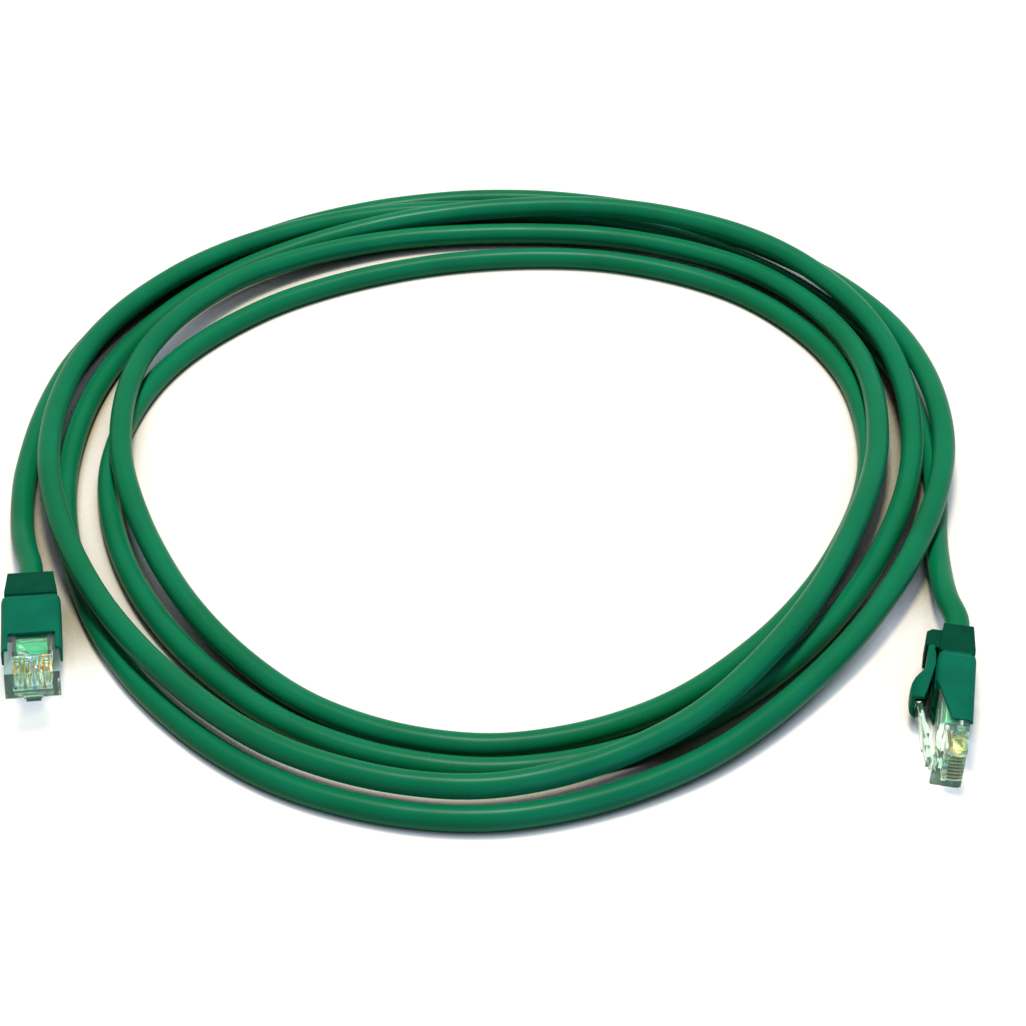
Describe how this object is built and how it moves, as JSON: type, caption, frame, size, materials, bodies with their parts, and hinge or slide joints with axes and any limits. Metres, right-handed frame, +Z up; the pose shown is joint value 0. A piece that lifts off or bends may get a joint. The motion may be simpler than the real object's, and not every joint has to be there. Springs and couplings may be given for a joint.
{
  "type": "ethernet patch cable",
  "caption": "Coiled green network patch cable with clear modular plugs, sprung latches, moulded boots and snag guards.",
  "frame": {"origin": "middle of the coiled cable's outline, on the surface it lies on", "axes": "+Z up; the plugs lie at the -Y side of the coil and point to -Y"},
  "size_m": [0.2294, 0.2326, 0.0156],
  "materials": {
    "jacket": "satin PVC",
    "boot": "moulded satin",
    "clear_shell": "clear moulded plastic",
    "contact": "gold plated",
    "copper": "bare copper",
    "wire_white_orange": "smooth insulation",
    "wire_orange": "smooth insulation",
    "wire_white_green": "smooth insulation",
    "wire_blue": "smooth insulation",
    "wire_white_blue": "smooth insulation",
    "wire_green": "smooth insulation",
    "wire_white_brown": "smooth insulation",
    "wire_brown": "smooth insulation"
  },
  "bodies": {
    "cable": {"jacket_coil": "jacket", "lead_a": "jacket", "lead_b": "jacket", "plug_shell_a": "clear_shell", "boot_a": "boot", "jacket_end_a": "jacket", "jacket_clamp_a": "clear_shell", "wire_clamp_a": "clear_shell", "cores_a": "copper", "contact_a1": "contact", "contact_a2": "contact", "contact_a3": "contact", "contact_a4": "contact", "contact_a5": "contact", "contact_a6": "contact", "contact_a7": "contact", "contact_a8": "contact", "wire_a_white_orange": "wire_white_orange", "wire_a_orange": "wire_orange", "wire_a_white_green": "wire_white_green", "wire_a_blue": "wire_blue", "wire_a_white_blue": "wire_white_blue", "wire_a_green": "wire_green", "wire_a_white_brown": "wire_white_brown", "wire_a_brown": "wire_brown", "plug_shell_b": "clear_shell", "boot_b": "boot", "jacket_end_b": "jacket", "jacket_clamp_b": "clear_shell", "wire_clamp_b": "clear_shell", "cores_b": "copper", "contact_b1": "contact", "contact_b2": "contact", "contact_b3": "contact", "contact_b4": "contact", "contact_b5": "contact", "contact_b6": "contact", "contact_b7": "contact", "contact_b8": "contact", "wire_b_white_orange": "wire_white_orange", "wire_b_orange": "wire_orange", "wire_b_white_green": "wire_white_green", "wire_b_blue": "wire_blue", "wire_b_white_blue": "wire_white_blue", "wire_b_green": "wire_green", "wire_b_white_brown": "wire_white_brown", "wire_b_brown": "wire_brown"},
    "latch_a": {"latch_a": "clear_shell"},
    "guard_a": {"snag_guard_a": "boot"},
    "latch_b": {"latch_b": "clear_shell"},
    "guard_b": {"snag_guard_b": "boot"}
  },
  "joints": [
    {"name": "guard_a_press", "type": "hinge", "parent": "cable", "child": "guard_a", "pos_m": [-0.10146, -0.05536, 0.0024], "axis": [-0.9801, -0.1785, 0.0863], "range_deg": [0, 9.6], "stiffness_Nm_per_rad": 0.003},
    {"name": "latch_a_press", "type": "hinge", "parent": "cable", "child": "latch_a", "pos_m": [-0.0956, -0.08464, 0.0084], "axis": [0.9801, 0.1785, -0.0863], "range_deg": [0, 9.6]},
    {"name": "guard_b_press", "type": "hinge", "parent": "cable", "child": "guard_b", "pos_m": [0.09885, -0.0715, 0.0065], "axis": [0, 0, 1], "range_deg": [0, 9.6], "stiffness_Nm_per_rad": 0.003},
    {"name": "latch_b_press", "type": "hinge", "parent": "cable", "child": "latch_b", "pos_m": [0.09492, -0.10171, 0.0065], "axis": [0, 0, -1], "range_deg": [0, 9.6]}
  ],
  "couplings": [
    {"joint": "latch_a_press", "follows": "guard_a_press", "ratio": 1},
    {"joint": "latch_b_press", "follows": "guard_b_press", "ratio": 1}
  ]
}
